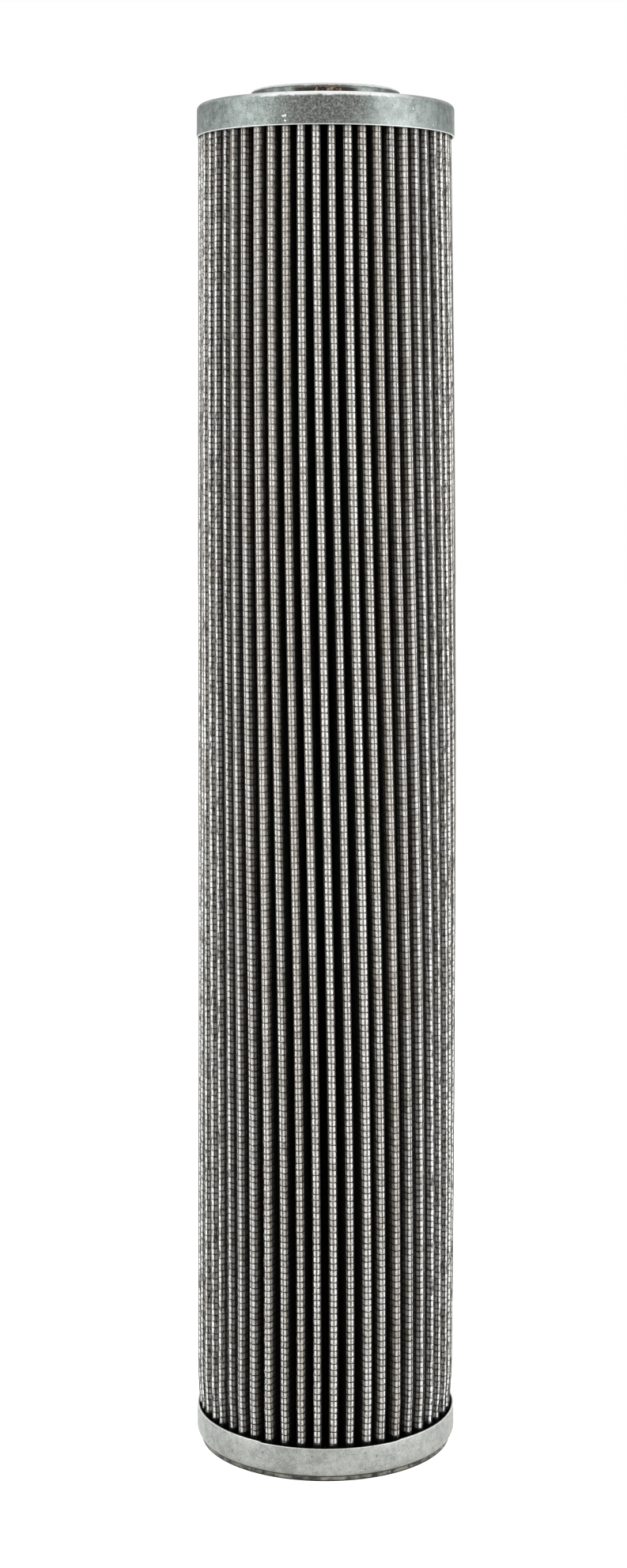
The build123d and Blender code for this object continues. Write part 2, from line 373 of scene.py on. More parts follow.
class Nodes:
    """Short calls that add nodes to a tree and join them."""

    def __init__(self, tree):
        self.tree = tree

    def add(self, kind, settings=None, **inputs):
        """A node. Its inputs are named by label, or as i0, i1 and so on by number."""
        node = self.tree.nodes.new(kind)
        for key, value in (settings or {}).items():
            setattr(node, key, value)
        for key, value in inputs.items():
            label = int(key[1:]) if key[1:].isdigit() else key.replace("_", " ")
            self.set(node.inputs[label], value)
        return node

    def set(self, socket, value):
        """Another node's output, or a plain value, into an input."""
        if isinstance(value, bpy.types.NodeSocket):
            self.tree.links.new(value, socket)
        else:
            socket.default_value = value

    def noise(self, vector, scale, detail, rough):
        node = self.add("ShaderNodeTexNoise", Vector=vector, Scale=scale, Detail=detail, Roughness=rough)
        return node.outputs["Fac"]

    def ramp(self, value, stops):
        node = self.add("ShaderNodeValToRGB", Fac=value)
        elements = node.color_ramp.elements
        while len(elements) < len(stops):
            elements.new(0.5)
        for element, (position, colour) in zip(elements, stops):
            element.position = position
            element.color = (*colour, 1)
        return node.outputs["Color"]

    def math(self, operation, *values):
        inputs = {f"i{i}": value for i, value in enumerate(values)}
        return self.add("ShaderNodeMath", {"operation": operation}, **inputs).outputs[0]

    def chain(self, operation, values):
        """One operation from value to value, from the left."""
        result, *others = values
        for value in others:
            result = self.math(operation, result, value)
        return result

    def plus(self, *values):
        return self.chain("ADD", values)

    def minus(self, first, second):
        return self.math("SUBTRACT", first, second)

    def times(self, *values):
        return self.chain("MULTIPLY", values)

    def largest(self, *values):
        return self.chain("MAXIMUM", values)

    def gap(self, first, second):
        """How far two values are apart."""
        return self.math("ABSOLUTE", self.minus(first, second))

    def between(self, value, at_zero, at_one):
        """A straight line: at_zero where the value is 0, at_one where it is 1."""
        return self.plus(self.times(value, at_one - at_zero), at_zero)

    def fade(self, value, low, high):
        """0 below low, 1 above high, smooth between. Given the higher limit first, it falls."""
        settings = {"interpolation_type": "SMOOTHSTEP"}
        node = self.add("ShaderNodeMapRange", settings, Value=value, From_Min=low, From_Max=high)
        return node.outputs["Result"]

    def paint(self, colour, cover, paint, share=1.0, blend="MIX"):
        """A colour with paint over it: none where cover is 0, the stated share where it is 1."""
        node = self.tree.nodes.new("ShaderNodeMix")
        node.data_type = "RGBA"
        node.blend_type = blend
        self.set(node.inputs[0], cover if share == 1.0 else self.times(cover, share))
        for socket, tone in ((node.inputs[6], colour), (node.inputs[7], paint)):
            self.set(socket, (*tone, 1) if isinstance(tone, tuple) else tone)
        return node.outputs[2]

    def bump(self, height, strength, distance):
        node = self.add("ShaderNodeBump", Height=height, Strength=strength, Distance=distance)
        return node.outputs["Normal"]

    def finish(self, **inputs):
        shader = self.add("ShaderNodeBsdfPrincipled", **inputs)
        output = self.tree.nodes.new("ShaderNodeOutputMaterial")
        self.tree.links.new(shader.outputs[0], output.inputs["Surface"])


def new_material(name):
    """An empty node material, and the nodes to fill it with."""
    material = bpy.data.materials.new(name)
    material.use_nodes = True
    material.node_tree.nodes.clear()
    return material, Nodes(material.node_tree)


def object_place(nodes):
    """The object's own coordinates, in metres."""
    return nodes.add("ShaderNodeTexCoord").outputs["Object"]


def axes(nodes, vector):
    """A vector's three parts."""
    parts = nodes.add("ShaderNodeSeparateXYZ", Vector=vector).outputs
    return parts["X"], parts["Y"], parts["Z"]


def from_front(nodes, x, y):
    """Angle round the axis from the front, in degrees, growing to the right."""
    return nodes.math("DEGREES", nodes.math("ARCTAN2", x, nodes.times(y, -1)))


def from_axis(nodes, x, y):
    """Distance from the axis."""
    return nodes.math("SQRT", nodes.plus(nodes.times(x, x), nodes.times(y, y)))


def at_sides(nodes, x, y):
    """0 across the pack's front, 1 at its sides and back."""
    return nodes.fade(nodes.math("ABSOLUTE", from_front(nodes, x, y)), SIDES_BEGIN, SIDES_REACHED)


def below_crests(nodes, x, y, z):
    """How deep a place lies under the crests, which follow the pack's barrel form and bow."""
    share = nodes.math("DIVIDE", nodes.minus(z, PACK_MIDDLE), PACK_HIGH - PACK_MIDDLE)
    belly = nodes.minus(1.0, nodes.times(share, share))
    centred = nodes.minus(x, nodes.times(belly, BOW))
    crest = nodes.plus(nodes.times(belly, BULGE), CREST_RADIUS)
    return nodes.minus(crest, from_axis(nodes, centred, y))


def weave_place(nodes):
    """The weave's own coordinates, and how far a place is from its warp and from its weft.

    Both distances are 0 on a wire and 1 halfway between two.
    """
    weave = nodes.add("ShaderNodeUVMap", {"uv_map": "Weave"}).outputs["UV"]
    inside = nodes.add("ShaderNodeVectorMath", {"operation": "FRACTION"}, i0=weave).outputs[0]
    u, v, _ = axes(nodes, inside)
    across = nodes.math("SINE", nodes.times(u, math.pi))
    upward = nodes.math("SINE", nodes.times(v, math.pi))
    return weave, across, upward


# ---------------------------------------------------------------- the caps' plating

def zinc(name, light, mid, dark, marks):
    """Dull zinc plate: clouds, spangle, fine grain, dark pits and pale scuffs."""
    material, nodes = new_material(name)
    place = object_place(nodes)
    clouds = nodes.noise(place, 55, 3, 0.6)
    spangle = nodes.noise(place, 420, 2, 0.6)
    grain = nodes.noise(place, 2300, 3, 0.7)
    tone = nodes.plus(nodes.times(clouds, 0.28), nodes.times(spangle, 0.27), nodes.times(grain, 0.45))
    colour = nodes.ramp(tone, [(0.43, dark), (0.5, mid), (0.57, light)])
    # marks adds wear and dirt, and also the caps' painted shade, highlights and reflection
    colour = marks(nodes, colour, place)
    pits = nodes.fade(nodes.noise(place, 900, 1, 0.4), 0.72, 0.77)
    colour = nodes.paint(colour, pits, (0.05, 0.055, 0.05), 0.6)
    scuffs = nodes.fade(nodes.noise(place, 730, 2, 0.5), 0.70, 0.78)
    colour = nodes.paint(colour, scuffs, (0.72, 0.75, 0.73), 0.45)
    relief = nodes.plus(nodes.times(spangle, 0.5), nodes.times(grain, 0.5))
    nodes.finish(
        Base_Color=colour,
        Metallic=0.8,
        Roughness=nodes.between(grain, 0.34, 0.59),
        Normal=nodes.bump(relief, 0.2, 0.3 * MM),
    )
    return material


def open_cap_marks_and_light(nodes, colour, place):
    """Wear and chips on the open cap, with its painted shade, highlights and reflection."""
    x, y, z = axes(nodes, place)
    angle = from_front(nodes, x, y)
    radius = from_axis(nodes, x, y)
    colour = shade_front(nodes, colour, place, angle)
    colour = shoulder_highlight_and_edge(nodes, colour, place, angle, radius, z)
    colour = chips_and_ding_shade(nodes, colour, place)
    return neck_shade_and_reflection(nodes, colour, place, angle, radius, z)


def shade_front(nodes, colour, place, angle):
    """A front darkened with speckled painted shade and ragged ends, and a paler stretch of painted light
    right of it.
    """
    # The noise lies about a half, and the middle makes up for that
    ragged = 44
    middle = ragged / 2 - 1
    ragged_angle = nodes.plus(angle, nodes.times(nodes.noise(place, 110, 5, 0.75), ragged))
    # Painted shade across the cap's front, speckled
    tarnish = nodes.fade(nodes.gap(ragged_angle, middle), 30, 8)
    coarse = nodes.times(nodes.noise(place, 1300, 5, 0.75), 0.6)
    fine = nodes.times(nodes.noise(place, 2300, 3, 0.7), 0.4)
    speckle = nodes.ramp(
        nodes.plus(coarse, fine),
        [(0.42, (0.044, 0.050, 0.048)), (0.5, (0.112, 0.112, 0.106)), (0.58, (0.235, 0.233, 0.222))],
    )
    colour = nodes.paint(colour, tarnish, speckle, 0.85)
    # Painted light on a stretch right of the front
    beside = nodes.fade(nodes.gap(angle, 31), 13, 5)
    return nodes.paint(colour, beside, (0.50, 0.52, 0.52), 0.16)


def shoulder_highlight_and_edge(nodes, colour, place, angle, radius, z):
    """A shoulder painted bright as a highlight, most of all in front, and a bright lower edge."""
    ragged_z = nodes.plus(z, nodes.times(nodes.noise(place, 380, 4, 0.7), 1.3 * MM))
    ahead = nodes.fade(nodes.gap(angle, 2), 46, 22)
    # Painted highlight: the shoulder's reflection of the bright room above, strongest in front
    shoulder = nodes.times(
        nodes.fade(ragged_z, FACE_Z - 0.95 * MM, FACE_Z - 0.15 * MM),
        nodes.fade(z, FACE_Z + 0.5 * MM, FACE_Z + 0.2 * MM),
        nodes.fade(radius, 34.0 * MM, 36.8 * MM),
        nodes.between(ahead, 0.15, 0.90),
    )
    colour = nodes.paint(colour, shoulder, (0.88, 0.89, 0.88))
    edge = nodes.fade(z, OPEN_CAP_LOW + 0.34 * MM, OPEN_CAP_LOW + 0.16 * MM)
    return nodes.paint(colour, edge, (0.58, 0.62, 0.60), 0.75)


def chips_and_ding_shade(nodes, colour, place):
    """Bright chips of plating round the ding, and dark spots of painted shade at its upper right."""
    ragged = nodes.times(nodes.noise(place, 2600, 3, 0.7), 0.9 * MM)
    for degrees, height, size, shade in OPEN_CAP_CHIPS_AND_SHADE:
        turn = math.radians(degrees)
        spot = (CHIP_RADIUS * math.sin(turn), -CHIP_RADIUS * math.cos(turn), height * MM)
        apart = nodes.add("ShaderNodeVectorMath", {"operation": "DISTANCE"}, i0=place, i1=spot)
        reach = nodes.plus(apart.outputs["Value"], ragged)
        chip_and_shade = nodes.fade(reach, (size + 0.35) * MM, (size + 0.1) * MM)
        # Bright chips, and painted shade for the dark entries
        colour = nodes.paint(colour, chip_and_shade, (shade, shade, shade))
    return colour


def neck_shade_and_reflection(nodes, colour, place, angle, radius, z):
    """A neck darkened with painted shade, a painted highlight along its rounding, and a painted dark
    brown reflection at its foot in front.
    """
    ragged_z = nodes.plus(z, nodes.times(nodes.noise(place, 300, 4, 0.7), 0.9 * MM))
    # Painted shade over the neck's wall, weaker in patches
    neck_patches = nodes.fade(nodes.noise(place, 210, 3, 0.6), 0.40, 0.58)
    neck = nodes.times(
        nodes.fade(z, FACE_Z + 0.9 * MM, FACE_Z + 1.5 * MM),
        nodes.fade(ragged_z, OPEN_CAP_HIGH - 0.35 * MM, OPEN_CAP_HIGH - 0.75 * MM),
        nodes.between(neck_patches, 0.85, 0.25),
    )
    colour = nodes.paint(colour, neck, (0.07, 0.085, 0.077))
    # Painted highlight along the neck's rounding
    rounding = nodes.fade(ragged_z, OPEN_CAP_HIGH - 0.5 * MM, OPEN_CAP_HIGH - 0.1 * MM)
    colour = nodes.paint(colour, rounding, (0.74, 0.76, 0.74), 0.8)
    # Painted reflection, dark and brown, at the neck's foot in front
    foot_reflection = nodes.times(
        nodes.fade(nodes.math("ABSOLUTE", angle), 29, 20),
        nodes.fade(ragged_z, OPEN_CAP_HIGH - 0.80 * MM, OPEN_CAP_HIGH - 1.20 * MM),
        nodes.fade(radius, 24.5 * MM, 23.4 * MM),
    )
    reflection_spots = nodes.ramp(
        nodes.noise(place, 300, 2, 0.6),
        [(0.42, (0.015, 0.010, 0.008)), (0.47, (0.12, 0.055, 0.025)), (0.53, (0.36, 0.29, 0.20)),
         (0.60, (0.03, 0.02, 0.012))],
    )
    middle = nodes.fade(nodes.gap(angle, 1), 20, 10)
    reflection_tint = nodes.paint((0.025, 0.016, 0.010), middle, reflection_spots)
    return nodes.paint(colour, foot_reflection, reflection_tint, 0.9)


def closed_cap_marks_and_light(nodes, colour, place):
    """A rim whose top is painted bright as a highlight, painted shade in the crease over the pad, and a
    soiled pad whose lower edge is dark with painted shade.
    """
    z = axes(nodes, place)[2]
    facing = nodes.add("ShaderNodeTexCoord").outputs["Normal"]
    facing_up = axes(nodes, facing)[2]
    # Painted highlight on the up-facing top of the rim
    at_rim = nodes.fade(z, CLOSED_CAP_HIGH - 1.0 * MM, CLOSED_CAP_HIGH - 0.7 * MM)
    edge = nodes.times(nodes.fade(facing_up, 0.25, 0.6), at_rim)
    colour = nodes.paint(colour, edge, (0.86, 0.88, 0.86), 0.9)
    soil = nodes.ramp(
        nodes.noise(place, 420, 3, 0.6),
        [(0.38, (0.03, 0.032, 0.028)), (0.62, (0.22, 0.21, 0.17))],
    )
    on_pad = nodes.fade(z, CREASE_Z + 0.15 * MM, CREASE_Z - 0.10 * MM)
    colour = nodes.paint(colour, on_pad, soil)
    # Painted shade in the crease over the pad
    crease = nodes.times(
        nodes.fade(z, CREASE_Z - 0.35 * MM, CREASE_Z - 0.15 * MM),
        nodes.fade(z, CREASE_Z + 0.35 * MM, CREASE_Z + 0.10 * MM),
    )
    colour = nodes.paint(colour, crease, (0.02, 0.022, 0.02), 0.9)
    # Painted shade along the pad's downward-facing lower edge
    foot = nodes.fade(z, 0.5 * MM, 0.3 * MM)
    return nodes.paint(colour, foot, (0.02, 0.022, 0.018), 0.9)


# ---------------------------------------------------------------- the pack's materials

def medium_material():
    """Fibre felt that swells through the cloth's openings, with painted shade into the folds, beside its
    wires and at its lower end.
    """
    material, nodes = new_material("fibre_medium")
    place = object_place(nodes)
    x, y, z = axes(nodes, place)
    weave, across, upward = weave_place(nodes)
    pleat, cells_down = pleat_place(nodes, weave)
    felt = nodes.noise(place, 1900, 3, 0.65)
    # Noise that makes the painted shade patchy
    shade_noise = nodes.noise(place, 330, 3, 0.65)
    drawn_out = nodes.add("ShaderNodeMapping", i0=place, Scale=(1, 1, 0.14)).outputs[0]
    streaks = nodes.noise(drawn_out, 2300, 3, 0.65)
    frayed = nodes.minus(nodes.noise(place, 1500, 3, 0.7), 0.5)
    ragged_down = nodes.plus(cells_down, nodes.times(frayed, 0.8))
    at_side = at_sides(nodes, x, y)

    colour = felt_colour(nodes, place, weave, felt, streaks, at_side)
    colour = dull_pleats(nodes, colour, pleat)
    # Painted shade down the legs, brownish and patchy
    on_leg = nodes.fade(cells_down, 0.9, 1.1)
    patchy = nodes.fade(shade_noise, 0.42, 0.60)
    leg_shade = nodes.times(on_leg, nodes.between(patchy, 0.3, 1.0), nodes.between(at_side, 1.0, 0.55))
    colour = nodes.paint(colour, leg_shade, (0.47, 0.42, 0.35), blend="MULTIPLY")

    # Painted shadows beside the wires
    lines = nodes.largest(
        crest_shadow_lines(nodes, across, upward, shade_noise, at_side),
        leg_shadow_lines(nodes, across, upward, patchy, on_leg),
        edge_shadow_notches(nodes, upward, ragged_down),
    )
    colour = nodes.paint(colour, lines, (0.04, 0.036, 0.03))

    # Painted shade, darker cell by cell into the folds
    for start, share in FOLD_SHADE:
        deeper = nodes.fade(ragged_down, start - 0.10, start + 0.10)
        colour = nodes.paint(colour, deeper, (0.008, 0.008, 0.008), share)
    side_lines = nodes.times(at_side, nodes.fade(streaks, 0.47, 0.42))
    colour = nodes.paint(colour, side_lines, (0.02, 0.023, 0.024), 0.85)
    # Painted shade at the pleats' lower ends, above the closed cap's rim
    ragged_z = nodes.plus(z, nodes.times(shade_noise, 1.6 * MM))
    at_rim = nodes.fade(ragged_z, CLOSED_CAP_HIGH + 1.6 * MM, CLOSED_CAP_HIGH + 1.2 * MM)
    colour = nodes.paint(colour, at_rim, (0.004, 0.004, 0.004))

    pillow = nodes.math("POWER", nodes.times(across, upward), 0.6)
    nodes.finish(
        Base_Color=colour,
        Roughness=0.75,
        Normal=nodes.bump(nodes.plus(pillow, nodes.times(felt, 0.2)), 1.0, 0.3 * MM),
        Specular_IOR_Level=0.1,
    )
    return material


def pleat_place(nodes, weave):
    """A pleat's number, and how many cells down a leg a place lies from the crest."""
    pleat = nodes.plus(nodes.math("DIVIDE", axes(nodes, weave)[0], WARP_PER_PLEAT), 0.5)
    from_crest = nodes.gap(nodes.math("FRACT", pleat), 0.5)
    return nodes.math("FLOOR", pleat), nodes.times(from_crest, WARP_PER_PLEAT)


def felt_colour(nodes, place, weave, felt, streaks, at_side):
    """Pale felt that differs from cell to cell, soiled in front and cooler at the sides."""
    cells = nodes.add("ShaderNodeVectorMath", {"operation": "FLOOR"}, i0=weave).outputs[0]
    chance = nodes.add("ShaderNodeTexWhiteNoise", {"noise_dimensions": "2D"}, Vector=cells)
    stain = nodes.noise(place, 70, 4, 0.65)
    tone = nodes.plus(nodes.times(chance.outputs["Value"], 0.35), nodes.times(stain, 0.65))
    colour = nodes.ramp(
        tone,
        [(0.28, (0.62, 0.595, 0.54)), (0.44, (0.89, 0.875, 0.84)), (0.58, (0.96, 0.96, 0.95))],
    )
    soiling = nodes.between(at_side, 1.0, 0.05)
    soiled = nodes.times(nodes.fade(felt, 0.45, 0.70), soiling)
    colour = nodes.paint(colour, soiled, (0.46, 0.44, 0.40))
    scratched = nodes.times(nodes.fade(streaks, 0.50, 0.60), 0.5, soiling)
    colour = nodes.paint(colour, scratched, (0.32, 0.305, 0.28))
    return nodes.paint(colour, at_side, (0.96, 0.99, 1.0), 0.7, "MULTIPLY")


def dull_pleats(nodes, colour, pleat):
    """Some pleats are duller than others."""
    chance = nodes.add("ShaderNodeTexWhiteNoise", {"noise_dimensions": "1D"}, W=pleat)
    duller = nodes.math("POWER", chance.outputs["Value"], 2.0)
    return nodes.paint(colour, duller, (0.74, 0.69, 0.61), 0.55, "MULTIPLY")


def crest_shadow_lines(nodes, across, upward, shade_noise, at_side):
    """Patchy painted shadows beside the wires of a crest, fainter beside the weft at the sides."""
    beside_warp = nodes.times(nodes.fade(across, 0.5, 0.05), 0.55)
    beside_weft = nodes.times(nodes.fade(upward, 0.42, 0.05), nodes.between(at_side, 0.72, 0.20))
    return nodes.times(nodes.largest(beside_warp, beside_weft), nodes.fade(shade_noise, 0.30, 0.62))


def leg_shadow_lines(nodes, across, upward, patchy, on_leg):
    """Broader painted shadows beside the wires of a leg."""
    beside_wires = nodes.largest(nodes.fade(across, 0.7, 0.25), nodes.fade(upward, 0.5, 0.1))
    return nodes.times(beside_wires, nodes.between(patchy, 0.5, 0.95), on_leg)


def edge_shadow_notches(nodes, upward, ragged_down):
    """Notches of painted shadow in a crest's edges, one beside each weft wire."""
    at_edge = nodes.times(nodes.fade(ragged_down, 0.55, 0.95), nodes.fade(ragged_down, 1.4, 1.1))
    return nodes.times(at_edge, nodes.fade(upward, 0.75, 0.35))


def wire_material(name, dark, mid, light, side_share):
    """Oiled steel wire in patches of three tones, painted black with shade in the folds and at the lower
    rim.

    It gets paler higher up, and towards the sides by side_share.
    """
    material, nodes = new_material(name)
    place = object_place(nodes)
    x, y, z = axes(nodes, place)
    colour = nodes.ramp(nodes.noise(place, 700, 3, 0.7), [(0.40, dark), (0.50, mid), (0.60, light)])
    colour = nodes.paint(colour, nodes.fade(z, PALE_FROM, PALE_TO), (0.30, 0.27, 0.235), 0.5)
    colour = nodes.paint(colour, at_sides(nodes, x, y), (0.42, 0.42, 0.40), side_share)
    # Painted shade under the crests: dark, then black in the folds and at the lower rim
    depth = below_crests(nodes, x, y, z)
    colour = nodes.paint(colour, nodes.fade(depth, DARK_FROM, DARK_TO), (0.015, 0.014, 0.012), 0.9)
    in_fold = nodes.fade(depth, BLACK_FROM, BLACK_TO)
    at_rim = nodes.fade(z, CLOSED_CAP_HIGH + 0.5 * MM, CLOSED_CAP_HIGH)
    colour = nodes.paint(colour, nodes.largest(in_fold, at_rim), (0.006, 0.006, 0.005))
    nodes.finish(Base_Color=colour, Metallic=0.2, Roughness=0.5, Specular_IOR_Level=0.2)
    return material


def inner_cloth_material():
    """Downstream wire cloth, drawn by its weave."""
    material, nodes = new_material("inner_cloth")
    _, across, upward = weave_place(nodes)
    hole = nodes.fade(nodes.math("MINIMUM", across, upward), 0.25, 0.4)
    colour = nodes.paint((0.05, 0.045, 0.04), hole, (0.34, 0.30, 0.25))
    relief = nodes.bump(nodes.minus(1.0, hole), 0.8, 0.2 * MM)
    nodes.finish(Base_Color=colour, Metallic=0.2, Roughness=0.55, Normal=relief)
    return material


def core_material():
    """Plain steel with rolling marks and a little tarnish."""
    material, nodes = new_material("core_steel")
    place = object_place(nodes)
    stretched = nodes.add("ShaderNodeMapping", i0=place, Scale=(1, 1, 0.08)).outputs[0]
    marks = nodes.noise(stretched, 900, 3, 0.6)
    tarnish = nodes.noise(place, 90, 4, 0.6)
    colour = nodes.ramp(tarnish, [(0.35, (0.24, 0.23, 0.21)), (0.6, (0.42, 0.42, 0.41))])
    colour = nodes.paint(colour, marks, (0.55, 0.55, 0.54), 0.35)
    relief = nodes.bump(marks, 0.15, 0.1 * MM)
    nodes.finish(Base_Color=colour, Metallic=0.85, Roughness=0.38, Normal=relief)
    return material


def adhesive_material():
    """Cured amber adhesive, uneven and slightly glossy."""
    material, nodes = new_material("adhesive")
    clouds = nodes.noise(object_place(nodes), 120, 4, 0.6)
    colour = nodes.ramp(clouds, [(0.35, (0.30, 0.19, 0.09)), (0.65, (0.52, 0.38, 0.22))])
    nodes.finish(Base_Color=colour, Roughness=0.42, Normal=nodes.bump(clouds, 0.4, 0.6 * MM))
    return material


def rubber_material():
    """Black seal rubber with a dusting of mould grain."""
    material, nodes = new_material("seal_rubber")
    grain = nodes.noise(object_place(nodes), 1200, 3, 0.6)
    colour = nodes.ramp(grain, [(0.4, (0.012, 0.012, 0.012)), (0.7, (0.03, 0.03, 0.03))])
    nodes.finish(Base_Color=colour, Roughness=0.55, Normal=nodes.bump(grain, 0.2, 0.1 * MM))
    return material


# ---------------------------------------------------------------- pieces

def folded_sheet(name, upper_depth, lower_depth, rows, material):
    """A closed folded sheet between two depths under the pack's upstream face."""
    height = sheet_heights(rows)
    rows = len(height)
    sides = []
    for depth in (upper_depth, lower_depth):
        points, _, u = folded_path(height, depth)
        z = np.repeat(height[:, None], len(u), 1)
        sides.append(np.concatenate([points, z[..., None]], -1).reshape(-1, 3))
    columns = len(u)
    count = rows * columns
    outside = grid_quads(rows, columns)
    inside = grid_quads(rows, columns, offset=count)[:, ::-1]
    column = np.arange(columns)
    following = (column + 1) % columns
    low = np.stack([column, column + count, following + count, following], 1)
    top = (rows - 1) * columns
    high = np.stack([column + top, following + top, following + count + top, column + count + top], 1)
    quads = np.concatenate([outside, inside, low, high])
    # The weave's coordinates run over both sides, with the first column once more at the end
    u = np.append(u, u[0] + PLEATS * WARP_PER_PLEAT)
    shift = row_shift()
    shift = np.append(shift, shift[0])
    corner_column = np.tile(np.stack([column, column + 1, column + 1, column], 1), (rows - 1, 1))
    corner_row = np.repeat(np.arange(rows - 1), columns)[:, None] + np.array([0, 0, 1, 1])
    corner_v = (height[corner_row] - shift[corner_column] - FIRST_WEFT) / WEFT_PITCH
    side_uv = np.stack([u[corner_column], corner_v], -1)
    end_uv = np.zeros((2 * columns, 4, 2))
    uvs = np.concatenate([side_uv, side_uv[:, ::-1], end_uv])
    return mesh_object(name, np.concatenate(sides), quads, material, uvs=uvs)


def wire_corners():
    """The three corners of a wire's section, as distances along and across its normal."""
    turns = [math.radians(degrees) for degrees in (0, 120, 240)]
    return [(WIRE_RADIUS * math.cos(turn), WIRE_RADIUS * math.sin(turn)) for turn in turns]


def wire_rings(name, levels, material):
    """Weft wires: one closed ring for each level, all round the folds."""
    lowest, highest = PACK_LOW + WIRE_RADIUS, PACK_HIGH - WIRE_RADIUS
    points, normals, _ = folded_path(np.clip(levels, lowest, highest), WIRE_RADIUS)
    # A wire cuts across the small fold at the root, so the last column of each pleat is left out
    keep = np.arange(points.shape[1]) % COLUMNS != COLUMNS - 1
    points, normals = points[:, keep], normals[:, keep]
    columns = points.shape[1]
    jitter = rng.normal(0, WEFT_SCATTER, (len(levels), columns))
    z = np.clip(levels[:, None] + row_shift()[keep][None] + jitter, lowest, highest)
    rings = []
    for out, up in wire_corners():
        rings.append(np.concatenate([points + normals * out, (z + up)[..., None]], -1))
    vertices = np.stack(rings, 1)
    quads = grid_quads(3, columns, wrap_rows=True)
    starts = 3 * columns * np.arange(len(levels))
    quads = (quads[None] + starts[:, None, None]).reshape(-1, 4)
    return mesh_object(name, vertices.reshape(-1, 3), quads, material)


def warp_wires(name, rows, material):
    """Warp wires: they run up the crests and the outer part of each leg."""
    height = sheet_heights(rows)
    rows = len(height)
    points, normals, u = folded_path(height, WIRE_RADIUS)
    points = points.reshape(rows, PLEATS, COLUMNS, 2)
    normals = normals.reshape(rows, PLEATS, COLUMNS, 2)
    wires = []
    for wire in range(-WARP_SHOWN, WARP_SHOWN + 1):
        at = np.interp(wire, u[:COLUMNS], np.arange(COLUMNS))
        low, share = int(at), at - int(at)
        high = min(low + 1, COLUMNS - 1)
        centre = points[:, :, low] * (1 - share) + points[:, :, high] * share
        normal = normals[:, :, low] * (1 - share) + normals[:, :, high] * share
        normal /= np.linalg.norm(normal, axis=-1, keepdims=True)
        sideways = np.stack([-normal[..., 1], normal[..., 0]], -1)
        corners = [centre + normal * out + sideways * side for out, side in wire_corners()]
        wires.append(np.stack(corners, 2))
    rings = np.stack(wires, 2).transpose(1, 2, 0, 3, 4).reshape(-1, rows, 3, 2)
    z = np.broadcast_to(height[None, :, None, None], (*rings.shape[:3], 1))
    vertices = np.concatenate([rings, z], -1).reshape(-1, 3)
    top = 3 * (rows - 1)
    ends = np.array([[2, 1, 0, -1], [top, top + 1, top + 2, -1]])
    one = np.concatenate([grid_quads(rows, 3), ends])
    starts = (3 * rows * np.arange(len(rings)))[:, None, None]
    quads = np.where(one[None] < 0, -1, one[None] + starts).reshape(-1, 4)
    return mesh_object(name, vertices, quads, material)


def open_cap_section():
    """Section of the open cap, from its lower edge up the outside and back down the inside."""
    low, top, face = OPEN_CAP_LOW, OPEN_CAP_HIGH, FACE_Z
    wall, sheet, edge = OPEN_WALL, CAP_SHEET, CAP_EDGE
    inner_wall = wall - sheet + 0.02 * MM
    shoulder = 1.7 * MM
    shoulder_centre = (wall - shoulder, face - shoulder)
    neck = 22.8 * MM
    foot = 0.6 * MM
    neck_bend = 1.6 * MM
    neck_centre = (neck - neck_bend, top - neck_bend)
    bore = 19.25 * MM
    lip = 0.5 * MM
    # The wall flares by some hundredths of a millimetre towards its edge
    return [
        *arc((wall + 0.04 * MM - edge, low + edge), edge, -90, 0, 3),
        (wall + 0.05 * MM, low + 1.0 * MM),
        (wall + 0.02 * MM, low + 2.5 * MM),
        (wall, low + 5.0 * MM),
        *arc(shoulder_centre, shoulder, 0, 90, 10),
        *arc((neck + foot, face + foot), foot, 270, 180, 5),
        *arc(neck_centre, neck_bend, 0, 90, 10),
        *arc((bore + lip, top - lip), lip, 90, 180, 5),
        *arc((bore + sheet / 2, top - 2 * sheet), sheet / 2, 180, 360, 5),
        (bore + sheet, top - sheet),
        *arc(neck_centre, neck_bend - sheet, 90, 0, 6),
        (neck - sheet, face - sheet),
        *arc(shoulder_centre, shoulder - sheet, 90, 0, 6),
        (wall - sheet, low + 5.0 * MM),
        (inner_wall, low + 1.5 * MM),
        *arc((inner_wall + edge, low + edge), edge, 180, 270, 3),
    ]


def closed_cap_section():
    """Section of the closed cap, from the middle of its pad up the outside and back inside."""
    rim = CLOSED_CAP_HIGH
    sheet, edge = CAP_SHEET, CAP_EDGE
    near_axis = 0.01 * MM
    wall = 38.8 * MM
    pad = 37.4 * MM
    pad_edge = 0.2 * MM
    bend = 2.9 * MM
    centre = (wall - bend, 3.883 * MM)
    crease_turn = -56
    return [
        (near_axis, 0),
        *arc((pad - pad_edge, pad_edge), pad_edge, -90, 0, 3),
        (pad, 1.3 * MM),
        *arc(centre, bend, crease_turn, 0, 10),
        (wall, rim - 3 * MM),
        *arc((wall - edge, rim - edge), edge, 0, 90, 3),
        *arc((wall - sheet + edge, rim - edge), edge, 90, 180, 3),
        (wall - sheet, centre[1]),
        *arc(centre, bend - sheet, 0, crease_turn, 6),
        (pad - sheet, 1.6 * MM),
        (pad - sheet, sheet),
        (near_axis, sheet),
    ]


def seal_section():
    """Squeezed oval section of the seal."""
    low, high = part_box("o_ring")
    middle = ((SPIGOT_RADIUS + high.x) / 2, (low.z + high.z) / 2)
    half_width, half_height = (high.x - SPIGOT_RADIUS) / 2, (high.z - low.z) / 2
    angles = np.linspace(0, 2 * math.pi, 24, endpoint=False)
    return [(middle[0] + half_width * math.cos(a), middle[1] + half_height * math.sin(a)) for a in angles]


def turned_from(angle, start):
    """How far an angle is from another, at most half a turn either way."""
    return np.angle(np.exp(1j * (angle - start)))


